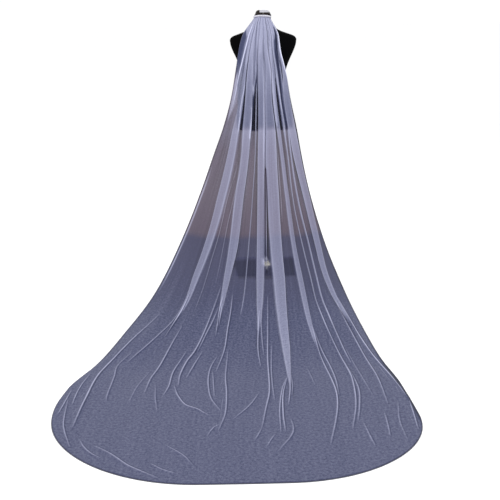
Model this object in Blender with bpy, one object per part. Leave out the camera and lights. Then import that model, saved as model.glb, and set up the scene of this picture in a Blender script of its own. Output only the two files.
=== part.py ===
"""A bridal veil gathered at the neck of a limbless dress form, its train laid out on the floor.

Metres, +Z up. The dress form stands upright on a pole and a square base plate. The veil is
gathered onto a band at the back of the neck, towards -Y, hangs free from there in a slack curve,
and ends in a long train that lies on the floor. Everything is built about the dress form's axis
and then moved as one, so that the origin is the middle of the model's box, on the floor.
"""
import math
from collections import namedtuple

import bpy
import bmesh
import numpy as np
from mathutils import Vector

# Distance kept between pieces that touch
GAP = 0.0003

# Tulle panel: its cut, and the wall that stands for it
VEIL_LENGTH = 3.0
WALL = 0.0012
TOUCH_BACK = 1.60
CORNERS_FROM = 2.1

# The two rounded lower corners: how far each runs across the veil and along it
Corner = namedtuple("Corner", "wide long")
LEFT_CORNER = Corner(0.60, 0.54)
RIGHT_CORNER = Corner(0.50, 0.39)

# Gathering band, wrapped round the back of the neck
BAND_INNER = 0.0490
BAND_OUTER = 0.0575
BAND_BOTTOM = 1.4565
BAND_TOP = 1.4655
BAND_MIDDLE = math.radians(-10.0)
BAND_HALF = math.radians(62.0)
BAND_DROOP = 0.006
BAND_STEPS = 26
BAND_CHAMFER = 0.0015

# Comb, between the band and the neck
COMB_INNER = 0.0473
COMB_OUTER = 0.0487
COMB_SPINE_BOTTOM = 1.4575
COMB_TEETH_BOTTOM = 1.430
COMB_HALF = math.radians(42.0)
COMB_TEETH = 13

# Dress form, pole and base
NECK_RADIUS = 0.047
NECK_TOP = 1.466
FORM_SEGMENTS = 32
CAP_SEGMENTS = 32
POLE_RADIUS = 0.0125
PLATE_SIDE = 0.36
PLATE_THICK = 0.010
PLATE_CORNER = 0.02
TORSO_BOTTOM = 0.833

# Rings of the torso, from its flat underside up to the top of the neck
Ring = namedtuple("Ring", "height half_width back front squareness")
TORSO = (
    Ring(TORSO_BOTTOM, 0.144, 0.096, 0.096, 2.3),
    Ring(0.840, 0.148, 0.101, 0.100, 2.3),
    Ring(0.900, 0.150, 0.106, 0.101, 2.3),
    Ring(0.960, 0.143, 0.099, 0.097, 2.3),
    Ring(1.030, 0.128, 0.084, 0.090, 2.2),
    Ring(1.095, 0.118, 0.075, 0.086, 2.2),
    Ring(1.150, 0.123, 0.078, 0.094, 2.2),
    Ring(1.200, 0.138, 0.086, 0.112, 2.3),
    Ring(1.245, 0.158, 0.092, 0.124, 2.4),
    Ring(1.285, 0.176, 0.092, 0.116, 2.5),
    Ring(1.318, 0.185, 0.084, 0.098, 2.6),
    Ring(1.340, 0.184, 0.074, 0.083, 2.6),
    Ring(1.353, 0.170, 0.068, 0.074, 2.5),
    Ring(1.365, 0.138, 0.064, 0.068, 2.4),
    Ring(1.377, 0.104, 0.060, 0.062, 2.2),
    Ring(1.390, 0.078, 0.056, 0.057, 2.1),
    Ring(1.405, 0.059, 0.051, 0.051, 2.0),
    Ring(1.420, 0.050, 0.048, 0.048, 2.0),
    Ring(1.428, NECK_RADIUS, NECK_RADIUS, NECK_RADIUS, 2.0),
    Ring(NECK_TOP, NECK_RADIUS, NECK_RADIUS, NECK_RADIUS, 2.0),
)

# Turned outlines, from the bottom up
Turned = namedtuple("Turned", "radius height")
NECK_CAP = (
    Turned(0.0450, 1.4663),
    Turned(0.0450, 1.4700),
    Turned(0.0420, 1.4740),
    Turned(0.0395, 1.4810),
    Turned(0.0340, 1.4885),
    Turned(0.0240, 1.4935),
    Turned(0.0120, 1.4950),
)
FLANGE = (
    Turned(0.0320, PLATE_THICK + GAP),
    Turned(0.0320, 0.0150),
    Turned(0.0300, 0.0170),
    Turned(0.0190, 0.0210),
    Turned(0.0165, 0.0340),
    Turned(0.0150, 0.0360),
)

# Plan of the hanging cloth at stations along it: side edges, the round it takes, in the photo's view
Station = namedtuple("Station", "along left right radius turn")
STATIONS = (
    Station(0.00, -0.0475, 0.0387, 0.0505, -10.0),
    Station(0.05, -0.080, 0.053, 0.082, -7.0),
    Station(0.10, -0.111, 0.073, 0.170, -4.0),
    Station(0.15, -0.127, 0.084, 0.220, -2.0),
    Station(0.20, -0.137, 0.095, 0.260, 0.0),
    Station(0.30, -0.152, 0.115, 0.340, 0.0),
    Station(0.50, -0.186, 0.141, 0.430, 0.0),
    Station(0.66, -0.228, 0.166, 0.517, 0.0),
    Station(0.80, -0.273, 0.185, 0.540, 0.0),
    Station(1.07, -0.355, 0.227, 0.563, 0.0),
    Station(1.36, -0.451, 0.287, 0.850, 0.0),
    Station(1.66, -0.559, 0.361, 1.220, 0.0),
    Station(1.95, -0.687, 0.429, 1.450, 0.0),
    Station(2.20, -0.774, 0.474, 1.690, 0.0),
    Station(2.40, -0.842, 0.508, 1.900, 0.0),
    Station(2.60, -0.872, 0.528, 4.000, 0.0),
    Station(3.00, -0.872, 0.530, 12.00, 0.0),
)

# Folds, raised off the round: place across the veil (-1 left edge, 1 right edge) and width at these
# distances along it, share of the full height, and where the fold starts to fade and dies out
FOLD_ALONG = (0.0, 0.2, 0.66, 1.07, 1.36, 1.66, 2.5, 3.0)
Fold = namedtuple("Fold", "across width share fades dies")
FOLDS = (
    Fold((-0.80, -0.80, -0.92, -0.92, -0.92, -0.92, -0.92, -0.92),
         (0.0065, 0.005, 0.004, 0.004, 0.004, 0.004, 0.012, 0.012), 0.8, 0.25, 0.50),
    Fold((-0.58, -0.60, -0.69, -0.61, -0.63, -0.64, -0.66, -0.66),
         (0.0065, 0.014, 0.036, 0.053, 0.041, 0.024, 0.012, 0.012), 1.0, 1.50, 2.35),
    Fold((-0.36, -0.36, -0.36, -0.26, -0.265, -0.275, -0.26, -0.26),
         (0.0065, 0.016, 0.038, 0.057, 0.046, 0.024, 0.012, 0.012), 1.0, 1.50, 2.25),
    Fold((-0.15, -0.15, -0.12, -0.05, -0.10, -0.14, -0.14, -0.14),
         (0.0065, 0.008, 0.009, 0.010, 0.010, 0.010, 0.012, 0.012), 0.6, 1.30, 2.05),
    Fold((0.06, 0.05, 0.06, 0.109, 0.108, 0.10, 0.14, 0.14),
         (0.0065, 0.014, 0.030, 0.033, 0.035, 0.024, 0.012, 0.012), 1.0, 1.70, 2.45),
    Fold((0.27, 0.29, 0.35, 0.32, 0.312, 0.317, 0.34, 0.34),
         (0.0065, 0.018, 0.044, 0.056, 0.055, 0.047, 0.016, 0.012), 1.0, 2.00, 2.60),
    Fold((0.48, 0.53, 0.62, 0.553, 0.539, 0.557, 0.60, 0.50),
         (0.0065, 0.010, 0.013, 0.021, 0.023, 0.026, 0.012, 0.012), 0.8, 1.60, 2.85),
    Fold((0.68, 0.70, 0.745, 0.711, 0.709, 0.749, 0.71, 0.62),
         (0.0065, 0.010, 0.012, 0.024, 0.037, 0.042, 0.012, 0.012), 0.8, 1.60, 2.80),
    Fold((0.88, 0.88, 0.88, 0.88, 0.872, 0.891, 0.92, 0.90),
         (0.0065, 0.012, 0.020, 0.040, 0.021, 0.025, 0.012, 0.012), 0.9, 1.60, 2.60),
)
FOLD_SHOULDER_WIDTH = 0.8
FOLD_SHOULDER_HEIGHT = 0.85
FOLD_GAP_SHARE = 0.35

# Full height of a fold, the run of its sides, the broad swells between, and the edge columns
Relief = namedtuple("Relief", "along fold slope swell edge_step")
RELIEF = (
    Relief(0.00, 0.0045, 0.003, 0.000, 0.001),
    Relief(0.10, 0.0060, 0.005, 0.000, 0.002),
    Relief(0.20, 0.0075, 0.006, 0.001, 0.002),
    Relief(0.33, 0.0090, 0.007, 0.003, 0.003),
    Relief(0.66, 0.0120, 0.009, 0.006, 0.006),
    Relief(1.07, 0.0150, 0.012, 0.013, 0.010),
    Relief(1.66, 0.0150, 0.016, 0.016, 0.018),
    Relief(2.10, 0.0110, 0.020, 0.008, 0.030),
    Relief(2.60, 0.0080, 0.020, 0.000, 0.030),
    Relief(3.00, 0.0080, 0.020, 0.000, 0.030),
)
SWELLS_ACROSS = 4.5
SWELL_PHASE = 0.3

# Inner columns at each side edge: steps in from the edge, and the most of the room each may take
Inset = namedtuple("Inset", "steps most")
EDGE_INSETS = (Inset(0.4, 0.15), Inset(1.5, 0.40), Inset(3.0, 0.70))
LEAN_RUN = 0.10
DROOP_RUN = 0.08

ROWS_ALONG = (
    0.0, 0.03, 0.07, 0.12, 0.18, 0.25, 0.33, 0.40, 0.50, 0.60, 0.72, 0.86, 1.00, 1.14, 1.28,
    1.42, 1.56, 1.68, 1.80, 1.90, 2.00, 2.10, 2.22, 2.34, 2.46, 2.58, 2.70, 2.80, 2.88, 2.95, 3.0,
)

MITRE_LIMIT = 1.6


def clear_scene():
    for obj in list(bpy.data.objects):
        bpy.data.objects.remove(obj, do_unlink=True)


def material(name, colour, roughness, metallic=0.0, alpha=1.0):
    mat = bpy.data.materials.new(name)
    mat.use_nodes = True
    shader = mat.node_tree.nodes["Principled BSDF"]
    shader.inputs["Base Color"].default_value = (*colour, 1.0)
    shader.inputs["Roughness"].default_value = roughness
    shader.inputs["Metallic"].default_value = metallic
    shader.inputs["Alpha"].default_value = alpha
    return mat


def add_object(name, bm, mat, smooth_angle=None):
    """A mesh object from a bmesh, with its faces turned outwards and its own material."""
    bmesh.ops.recalc_face_normals(bm, faces=bm.faces)
    mesh = bpy.data.meshes.new(name)
    bm.to_mesh(mesh)
    bm.free()
    mesh.materials.append(mat)
    if smooth_angle is not None:
        mesh.shade_smooth()
        mesh.set_sharp_from_angle(angle=smooth_angle)
    obj = bpy.data.objects.new(name, mesh)
    bpy.context.scene.collection.objects.link(obj)
    return obj


def bridge_rings(bm, rings, closed_ends=True):
    """Join rings of vertices, each a closed loop of the same count, and cap both ends."""
    for lower, upper in zip(rings, rings[1:]):
        count = len(lower)
        for i in range(count):
            j = (i + 1) % count
            bm.faces.new((lower[i], lower[j], upper[j], upper[i]))
    if closed_ends:
        bm.faces.new(list(reversed(rings[0])))
        bm.faces.new(rings[-1])


def turned(bm, outline, segments, bore=None):
    """Turn an outline about the vertical axis, solid or round a bore."""
    outline = list(outline)
    if bore is not None:
        outline.append(Turned(bore, outline[-1].height))
        outline.append(Turned(bore, outline[0].height))
    rings = []
    for point in outline:
        ring = []
        for i in range(segments):
            angle = 2.0 * math.pi * i / segments
            ring.append(bm.verts.new((point.radius * math.cos(angle),
                                      point.radius * math.sin(angle), point.height)))
        rings.append(ring)
    if bore is None:
        bridge_rings(bm, rings)
    else:
        bridge_rings(bm, rings + [rings[0]], closed_ends=False)


def smooth_table(at, known, values):
    """Value at one distance, on a smooth curve through a table's rows."""
    known = np.asarray(known, dtype=float)
    values = np.asarray(values, dtype=float)
    slopes = np.gradient(values, known)
    i = int(np.clip(np.searchsorted(known, at) - 1, 0, len(known) - 2))
    span = known[i + 1] - known[i]
    t = min(max((at - known[i]) / span, 0.0), 1.0)
    ease = t * t * (3.0 - 2.0 * t)
    start_pull = slopes[i] * t * (1.0 - t) ** 2
    end_pull = slopes[i + 1] * t * t * (1.0 - t)
    return float(values[i] + (values[i + 1] - values[i]) * ease + span * (start_pull - end_pull))


def straight_table(at, known, values):
    return float(np.interp(at, known, values))


def ramp(at, start, end):
    """Smooth rise from 0 to 1."""
    t = min(max((at - start) / (end - start), 0.0), 1.0)
    return t * t * (3.0 - 2.0 * t)


def hanging_curve():
    """Size and length of the slack curve from the band down to where it lies on the floor."""
    drop = BAND_BOTTOM - GAP - 0.5 * WALL
    reach = TOUCH_BACK - STATIONS[0].radius
    low, high = 0.01, 5.0
    for _ in range(60):
        middle = 0.5 * (low + high)
        if (math.cosh(middle) - 1.0) / middle < drop / reach:
            low = middle
        else:
            high = middle
    size = reach / high
    return size, size * math.sinh(high)


CURVE_SIZE, CURVE_LENGTH = hanging_curve()


def centre_line(along):
    """Distance behind the form's axis, height, and lean of the cloth from the floor."""
    if along >= CURVE_LENGTH:
        return TOUCH_BACK + along - CURVE_LENGTH, 0.0, 0.0
    left_over = (CURVE_LENGTH - along) / CURVE_SIZE
    span = math.asinh(left_over)
    lean = math.atan(left_over)
    lean += (0.5 * math.pi - lean) * (1.0 - ramp(along, 0.0, LEAN_RUN))
    return TOUCH_BACK - CURVE_SIZE * span, CURVE_SIZE * (math.cosh(span) - 1.0), lean


def plan(along):
    """Radius of the round, its middle angle, its half angle and its centre's sideways place."""
    known = [row.along for row in STATIONS]
    left = smooth_table(along, known, [row.left for row in STATIONS])
    right = smooth_table(along, known, [row.right for row in STATIONS])
    radius = straight_table(along, known, [row.radius for row in STATIONS])
    turn = math.radians(straight_table(along, known, [row.turn for row in STATIONS]))
    half = math.asin((right - left) / (2.0 * radius * math.cos(turn)))
    sideways = 0.5 * (left + right) - radius * math.sin(turn) * math.cos(half)
    return radius, turn, half, sideways


def place(along, across, rise):
    """Point of the veil: distance along it, arc distance across it and height off its round."""
    radius, turn, half, sideways = plan(along)
    back, height, lean = centre_line(along)
    angle = turn + across / radius
    out = rise * math.sin(lean)
    x = sideways + (radius + out) * math.sin(angle)
    back += out * math.cos(angle) - radius * (1.0 - math.cos(angle))
    droop = BAND_DROOP * (across / (radius * half)) ** 2 * (1.0 - ramp(along, 0.0, DROOP_RUN))
    z = height + 0.5 * WALL + rise * math.cos(lean) - droop
    return x, -back, max(z, 0.0)


def relief(along):
    known = [row.along for row in RELIEF]
    columns = zip(*[row[1:] for row in RELIEF])
    return [straight_table(along, known, column) for column in columns]


def fold_state(fold, along, half_arc, full_height):
    """A fold's middle, width and height at one distance along the veil."""
    middle = smooth_table(along, FOLD_ALONG, fold.across) * half_arc
    width = straight_table(along, FOLD_ALONG, fold.width)
    height = full_height * fold.share * (1.0 - ramp(along, fold.fades, fold.dies))
    return middle, width, height


def fold_columns(state, left_room, right_room, slope):
    """The five columns of a raised fold: foot, shoulder, crest, shoulder, foot."""
    middle, width, height = state
    left_foot = middle - 0.5 * width - min(slope, FOLD_GAP_SHARE * left_room)
    right_foot = middle + 0.5 * width + min(slope, FOLD_GAP_SHARE * right_room)
    shoulder = 0.5 * FOLD_SHOULDER_WIDTH * width
    shoulder_height = FOLD_SHOULDER_HEIGHT * height
    return [
        (left_foot, 0.0), (middle - shoulder, shoulder_height), (middle, height),
        (middle + shoulder, shoulder_height), (right_foot, 0.0),
    ]


def cross_section(along):
    """The cloth's middle line across the veil, as arc distances and heights."""
    radius, _, half, _ = plan(along)
    half_arc = radius * half
    full_height, slope, swell, edge_step = relief(along)
    states = [fold_state(fold, along, half_arc, full_height) for fold in FOLDS]
    starts = [middle - 0.5 * width for middle, width, _ in states] + [half_arc]
    stops = [-half_arc] + [middle + 0.5 * width for middle, width, _ in states]
    rooms = [start - stop for start, stop in zip(starts, stops)]
    folds = [fold_columns(state, rooms[i], rooms[i + 1], slope) for i, state in enumerate(states)]

    first_room = folds[0][0][0] + half_arc
    last_room = half_arc - folds[-1][-1][0]
    points = [(-half_arc, 0.0)]
    for inset in EDGE_INSETS:
        points.append((-half_arc + min(inset.steps * edge_step, inset.most * first_room), 0.0))
    for i, columns in enumerate(folds):
        if i > 0:
            points.append((0.5 * (points[-1][0] + columns[0][0]), 0.0))
        points.extend(columns)
    for inset in reversed(EDGE_INSETS):
        points.append((half_arc - min(inset.steps * edge_step, inset.most * last_room), 0.0))
    points.append((half_arc, 0.0))
    out = []
    for across, height in points:
        wave = math.cos(2.0 * math.pi * (SWELLS_ACROSS * 0.5 * (across / half_arc + 1.0) + SWELL_PHASE))
        out.append((across, height + 0.5 * swell * (1.0 - wave)))
    return out


def wall_sides(line):
    """The wall's outer and inner side: the middle line moved half a wall each way."""
    points = np.array(line)
    steps = np.diff(points, axis=0)
    steps /= np.linalg.norm(steps, axis=1)[:, None]
    normals = np.stack([-steps[:, 1], steps[:, 0]], axis=1)
    before = np.vstack([normals[:1], normals])
    after = np.vstack([normals, normals[-1:]])
    middle = before + after
    middle /= np.maximum(np.linalg.norm(middle, axis=1), 1e-6)[:, None]
    reach = 1.0 / np.maximum(np.sum(middle * after, axis=1), 1.0 / MITRE_LIMIT)
    shift = 0.5 * WALL * middle * reach[:, None]
    return points + shift, points - shift


def hem_shares():
    """For each column, how far along the veil its thread runs before the rounded hem."""
    radius, _, half, _ = plan(VEIL_LENGTH)
    half_arc = radius * half
    ends = []
    for across, _ in cross_section(VEIL_LENGTH):
        corner = LEFT_CORNER if across < 0.0 else RIGHT_CORNER
        into = max(0.0, abs(across) - (half_arc - corner.wide)) / corner.wide
        ends.append(VEIL_LENGTH - corner.long * (1.0 - math.sqrt(max(0.0, 1.0 - into * into))))
    return ends


def veil_rows():
    """Outer and inner points of the tulle wall, a row for each station along the veil."""
    ends = hem_shares()
    outer_rows, inner_rows = [], []
    for row in ROWS_ALONG:
        outer, inner = [], []
        for column, end in enumerate(ends):
            along = row
            if row > CORNERS_FROM:
                along = CORNERS_FROM + (row - CORNERS_FROM) * (end - CORNERS_FROM) / (
                    VEIL_LENGTH - CORNERS_FROM)
            outer_side, inner_side = wall_sides(cross_section(along))
            outer.append(place(along, *outer_side[column]))
            inner.append(place(along, *inner_side[column]))
        outer_rows.append(outer)
        inner_rows.append(inner)
    return outer_rows, inner_rows


def grid_faces(bm, grid, flip):
    """Two triangles a cell, split the same way on both sides of the wall."""
    for lower, upper in zip(grid, grid[1:]):
        for i in range(len(lower) - 1):
            for corners in ((lower[i], lower[i + 1], upper[i + 1]), (lower[i], upper[i + 1], upper[i])):
                bm.faces.new(corners[::-1] if flip else corners)


def veil_tulle():
    bm = bmesh.new()
    outer_rows, inner_rows = veil_rows()
    outer = [[bm.verts.new(point) for point in row] for row in outer_rows]
    inner = [[bm.verts.new(point) for point in row] for row in inner_rows]
    grid_faces(bm, outer, flip=False)
    grid_faces(bm, inner, flip=True)
    rim_outer = outer[0] + [row[-1] for row in outer[1:]] + outer[-1][-2::-1] + [
        row[0] for row in outer[-2:0:-1]]
    rim_inner = inner[0] + [row[-1] for row in inner[1:]] + inner[-1][-2::-1] + [
        row[0] for row in inner[-2:0:-1]]
    count = len(rim_outer)
    for i in range(count):
        j = (i + 1) % count
        bm.faces.new((rim_outer[i], rim_outer[j], rim_inner[j], rim_inner[i]))
    tulle = material("tulle", (0.42, 0.43, 0.60), 0.8, alpha=0.6)
    return add_object("veil_tulle", bm, tulle, math.radians(40.0))


def gather_band():
    """A narrow tape with chamfered edges, bent round the back of the neck."""
    bm = bmesh.new()
    cut = BAND_CHAMFER
    corners = (
        (BAND_INNER + cut, BAND_BOTTOM), (BAND_OUTER - cut, BAND_BOTTOM),
        (BAND_OUTER, BAND_BOTTOM + cut), (BAND_OUTER, BAND_TOP - cut),
        (BAND_OUTER - cut, BAND_TOP), (BAND_INNER + cut, BAND_TOP),
        (BAND_INNER, BAND_TOP - cut), (BAND_INNER, BAND_BOTTOM + cut),
    )
    rings = []
    for i in range(BAND_STEPS + 1):
        share = 2.0 * i / BAND_STEPS - 1.0
        angle = BAND_MIDDLE + BAND_HALF * share
        droop = BAND_DROOP * share * share
        ring = [bm.verts.new((r * math.sin(angle), -r * math.cos(angle), z - droop))
                for r, z in corners]
        rings.append(ring)
    bridge_rings(bm, rings)
    return add_object("gather_band", bm, material("band", (0.75, 0.75, 0.82), 0.6), math.radians(30.0))


def comb():
    """A curved comb: a spine with a row of teeth, cut from one thin curved sheet."""
    bm = bmesh.new()
    cells = 2 * COMB_TEETH - 1
    levels = (COMB_TEETH_BOTTOM, COMB_SPINE_BOTTOM, BAND_TOP - BAND_DROOP)
    grids = []
    for radius in (COMB_OUTER, COMB_INNER):
        grid = []
        for z in levels:
            row = []
            for i in range(cells + 1):
                angle = BAND_MIDDLE + COMB_HALF * (2.0 * i / cells - 1.0)
                row.append(bm.verts.new((radius * math.sin(angle), -radius * math.cos(angle), z)))
            grid.append(row)
        grids.append(grid)
    outer, inner = grids
    for i in range(cells):
        has_tooth = i % 2 == 0
        for level in ((0, 1) if has_tooth else (1,)):
            a, b = outer[level], outer[level + 1]
            c, d = inner[level], inner[level + 1]
            bm.faces.new((a[i], a[i + 1], b[i + 1], b[i]))
            bm.faces.new((c[i + 1], c[i], d[i], d[i + 1]))
        if has_tooth:
            for k in (i, i + 1):
                bm.faces.new((outer[0][k], outer[1][k], inner[1][k], inner[0][k]))
        low = 0 if has_tooth else 1
        bm.faces.new((outer[low][i], inner[low][i], inner[low][i + 1], outer[low][i + 1]))
        bm.faces.new((outer[2][i], outer[2][i + 1], inner[2][i + 1], inner[2][i]))
    for k in (0, cells):
        bm.faces.new((outer[1][k], outer[2][k], inner[2][k], inner[1][k]))
    return add_object("comb", bm, material("comb_plastic", (0.80, 0.80, 0.82), 0.25))


def ring_point(ring, angle):
    """Point on a squared oval whose back and front differ in depth."""
    c, s = math.cos(angle), math.sin(angle)
    power = 2.0 / ring.squareness
    depth = ring.front if s >= 0.0 else ring.back
    return Vector((ring.half_width * math.copysign(abs(c) ** power, c),
                   depth * math.copysign(abs(s) ** power, s), ring.height))


def form_torso():
    bm = bmesh.new()
    rings = []
    for ring in TORSO:
        rings.append([bm.verts.new(ring_point(ring, 2.0 * math.pi * i / FORM_SEGMENTS))
                      for i in range(FORM_SEGMENTS)])
    bridge_rings(bm, rings)
    return add_object("form_torso", bm, material("form_cloth", (0.004, 0.004, 0.005), 0.75),
                      math.radians(60.0))


def neck_cap():
    bm = bmesh.new()
    turned(bm, NECK_CAP, CAP_SEGMENTS)
    return add_object("neck_cap", bm, material("gloss_black", (0.01, 0.01, 0.012), 0.12),
                      math.radians(40.0))


def flange():
    bm = bmesh.new()
    turned(bm, FLANGE, CAP_SEGMENTS, bore=POLE_RADIUS + GAP)
    return add_object("flange", bm, material("flange_metal", (0.72, 0.68, 0.58), 0.3, 1.0),
                      math.radians(40.0))


def pole():
    bm = bmesh.new()
    ends = (Turned(POLE_RADIUS, PLATE_THICK + GAP), Turned(POLE_RADIUS, TORSO_BOTTOM - GAP))
    turned(bm, ends, CAP_SEGMENTS)
    return add_object("pole", bm, material("pole_metal", (0.60, 0.60, 0.62), 0.15, 1.0),
                      math.radians(40.0))


def base_plate():
    """A square plate with rounded corners, standing on its flat underside."""
    bm = bmesh.new()
    steps = 6
    outline = []
    reach = 0.5 * PLATE_SIDE - PLATE_CORNER
    for quarter in range(4):
        for i in range(steps + 1):
            angle = 0.5 * math.pi * (quarter + i / steps)
            centre_x = reach * (1.0 if quarter in (0, 3) else -1.0)
            centre_y = reach * (1.0 if quarter in (0, 1) else -1.0)
            outline.append((centre_x + PLATE_CORNER * math.cos(angle),
                            centre_y + PLATE_CORNER * math.sin(angle)))
    rings = [[bm.verts.new((x, y, z)) for x, y in outline] for z in (0.0, PLATE_THICK)]
    bridge_rings(bm, rings)
    return add_object("base_plate", bm, material("plate_glass", (0.03, 0.09, 0.12), 0.08),
                      math.radians(40.0))


def centre_on_origin(objects):
    """Move everything so that the origin is the middle of the model's box, on the floor."""
    points = [vertex.co for obj in objects for vertex in obj.data.vertices]
    xs = [point.x for point in points]
    ys = [point.y for point in points]
    shift = Vector((-0.5 * (min(xs) + max(xs)), -0.5 * (min(ys) + max(ys)), 0.0))
    for obj in objects:
        obj.location = shift


def main():
    clear_scene()
    objects = [
        veil_tulle(), gather_band(), comb(), form_torso(), neck_cap(), pole(), flange(), base_plate(),
    ]
    centre_on_origin(objects)


main()
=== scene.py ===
"""Looks of a bridal veil that hangs from the neck of a limbless dress form, with a long train.

Metres, +Z up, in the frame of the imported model. The veil is one thin sheet of tulle. It is gathered
onto a band at the back of the neck, hangs free in a slack curve with layered folds, and its train
lies on the floor. Lengths along and across the veil are measured on the cloth from the band.
"""
import math
from collections import namedtuple

import bpy
import bmesh
import numpy as np
from mathutils import Matrix, Vector


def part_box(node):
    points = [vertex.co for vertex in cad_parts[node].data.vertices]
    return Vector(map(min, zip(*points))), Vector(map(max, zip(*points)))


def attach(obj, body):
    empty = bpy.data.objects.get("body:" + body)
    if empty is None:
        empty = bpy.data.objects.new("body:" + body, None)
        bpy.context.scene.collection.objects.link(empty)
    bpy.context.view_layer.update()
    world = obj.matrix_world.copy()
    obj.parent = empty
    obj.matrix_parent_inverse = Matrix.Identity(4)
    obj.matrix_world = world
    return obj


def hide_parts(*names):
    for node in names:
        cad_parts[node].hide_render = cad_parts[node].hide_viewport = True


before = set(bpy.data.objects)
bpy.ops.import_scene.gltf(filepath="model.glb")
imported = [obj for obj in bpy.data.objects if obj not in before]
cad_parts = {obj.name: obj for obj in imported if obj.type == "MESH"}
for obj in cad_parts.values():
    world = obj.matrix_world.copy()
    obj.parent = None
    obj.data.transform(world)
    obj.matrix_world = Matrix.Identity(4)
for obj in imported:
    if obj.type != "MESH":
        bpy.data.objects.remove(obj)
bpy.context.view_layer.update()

BODY = "root"

# The dress form's axis, and the lengths that the stand's solids give
POLE_LOW, POLE_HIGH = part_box("pole")
AXIS = Vector((0.5 * (POLE_LOW[0] + POLE_HIGH[0]), 0.5 * (POLE_LOW[1] + POLE_HIGH[1]), 0.0))
POLE_RADIUS = 0.5 * (POLE_HIGH[0] - POLE_LOW[0])
PLATE_LOW, PLATE_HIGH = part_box("base_plate")
PLATE_SIDE = PLATE_HIGH[0] - PLATE_LOW[0]
PLATE_THICK = PLATE_HIGH[2] - PLATE_LOW[2]
TORSO_LOW, TORSO_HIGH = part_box("form_torso")
BAND_LOW, BAND_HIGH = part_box("gather_band")

# Distance kept between pieces that touch
GAP = 0.0003

# Veil: its cut, and the height of its middle where it lies on the floor
VEIL_WIDTH = 1.5
VEIL_LENGTH = 3.0
REST_HEIGHT = 0.0006
TOUCH_BACK = 1.60
CORNERS_FROM = 2.1
BAND_DROOP = 0.006
LEAN_RUN = 0.10
DROOP_RUN = 0.08

Corner = namedtuple("Corner", "wide long")
LEFT_CORNER = Corner(0.60, 0.54)
RIGHT_CORNER = Corner(0.50, 0.39)

# Plan of the hanging cloth at stations along it: side edges, the round it takes and its turn
Station = namedtuple("Station", "along left right radius turn")
STATIONS = (
    Station(0, -.0475, .0387, .0505, -10),
    Station(.05, -.08, .062, .082, -7),
    Station(.1, -.111, .084, .17, -4),
    Station(.15, -.127, .09, .22, -2),
    Station(.2, -.137, .095, .26, 0),
    Station(.3, -.152, .115, .34, 0),
    Station(.5, -.186, .141, .43, 0),
    Station(.66, -.228, .166, .517, 0),
    Station(.8, -.273, .185, .54, 0),
    Station(1.07, -.355, .227, .563, 0),
    Station(1.36, -.451, .287, .85, 0),
    Station(1.66, -.559, .361, 1.22, 0),
    Station(1.95, -.687, .429, 1.45, 0),
    Station(2.2, -.774, .474, 1.69, 0),
    Station(2.4, -.842, .508, 1.9, 0),
    Station(2.6, -.872, .528, 4, 0),
    Station(3, -.872, .53, 12, 0),
)

# Folds: place across the veil (-1 left edge, 1 right edge) and width at these distances along
# it, share of the full height, how light it looks, how far along its tip is, and the side that
# its free edge is on (-1 left, 1 right), or 0 for a thin pinched fold
FOLD_ALONG = (0, .06, .14, .3, .48, .66, .78, 1.07, 1.36, 1.54, 1.68, 1.8, 2, 2.25, 3)
Fold = namedtuple("Fold", "across width share light tip side")
FOLDS = (
    Fold((-.56, -.6, -.63, -.81, -.88, -.92, -.92, -.92, -.92, -.92, -.92, -.92, -.92, -.92, -.92), (.004,
        .004, .005, .005, .004, .003, .003, .003, .003, .003, .003, .003, .003, .003, .003), .5, 1, .5, 0),
    Fold((-.44, -.46, -.49, -.6, -.631, -.63, -.59, -.574, -.597, -.631, -.631, -.64, -.66, -.66, -.66),
        (.006, .007, .008, .012, .019, .035, .039, .045, .039, .032, .019, .007, .003, .003, .003), 1, 1,
        1.79, -1),
    Fold((-.29, -.31, -.34, -.41, -.384, -.325, -.279, -.263, -.25, -.27, -.27, -.25, -.25, -.25, -.25),
        (.006, .008, .012, .024, .038, .043, .039, .043, .042, .029, .017, .005, .003, .003, .003), 1, 1,
        1.76, 1),
    Fold((-.15, -.15, -.15, -.16, -.145, -.1, -.06, -.042, -.051, -.058, -.063, -.07, -.08, -.08, -.08),
        (.004, .004, .004, .004, .004, .005, .005, .005, .005, .004, .004, .004, .003, .003, .003), .6, .6,
        1.75, 0),
    Fold((.05, .04, .028, -.008, .013, .043, .067, .098, .104, .099, .099, .103, .107, .12, .14), (.006,
        .009, .015, .025, .03, .032, .033, .035, .036, .035, .028, .016, .003, .003, .003), 1, 1, 1.86, -1),
    Fold((.26, .27, .28, .3, .255, .285, .294, .304, .31, .313, .31, .315, .328, .33, .33), (.006, .009,
        .014, .022, .032, .047, .054, .058, .054, .052, .047, .042, .032, .01, .003), 1, 1, 2.29, 1),
    Fold((.46, .48, .5, .47, .45, .49, .53, .55, .546, .548, .548, .551, .565, .57, .57), (.006, .007, .01,
        .016, .02, .02, .018, .021, .021, .025, .024, .021, .01, .003, .003), .8, 1, 1.97, 1),
    Fold((.62, .62, .63, .62, .636, .649, .67, .655, .672, .674, .667, .682, .705, .73, .74), (.004, .005,
        .006, .008, .009, .009, .006, .005, .005, .005, .004, .004, .003, .003, .003), .6, .8, 1.88, 0),
    Fold((.74, .74, .74, .77, .78, .76, .751, .74, .755, .742, .731, .744, .76, .775, .78), (.004, .004,
        .004, .004, .005, .006, .008, .008, .007, .006, .005, .005, .004, .003, .003), .6, .9, 1.86, 0),
    Fold((.9, .92, .93, .91, .865, .858, .864, .89, .866, .84, .851, .882, .905, .91, .91), (.005, .006,
        .008, .018, .036, .036, .041, .042, .03, .025, .022, .018, .008, .003, .003), .9, 1, 1.84, -1),
)
OPENING_RUN = 0.35
OPEN_MASK = 0.007
TIP_FADE = 0.06
TAPER_END = 0.3
TAPER_RUN = 0.5

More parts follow.
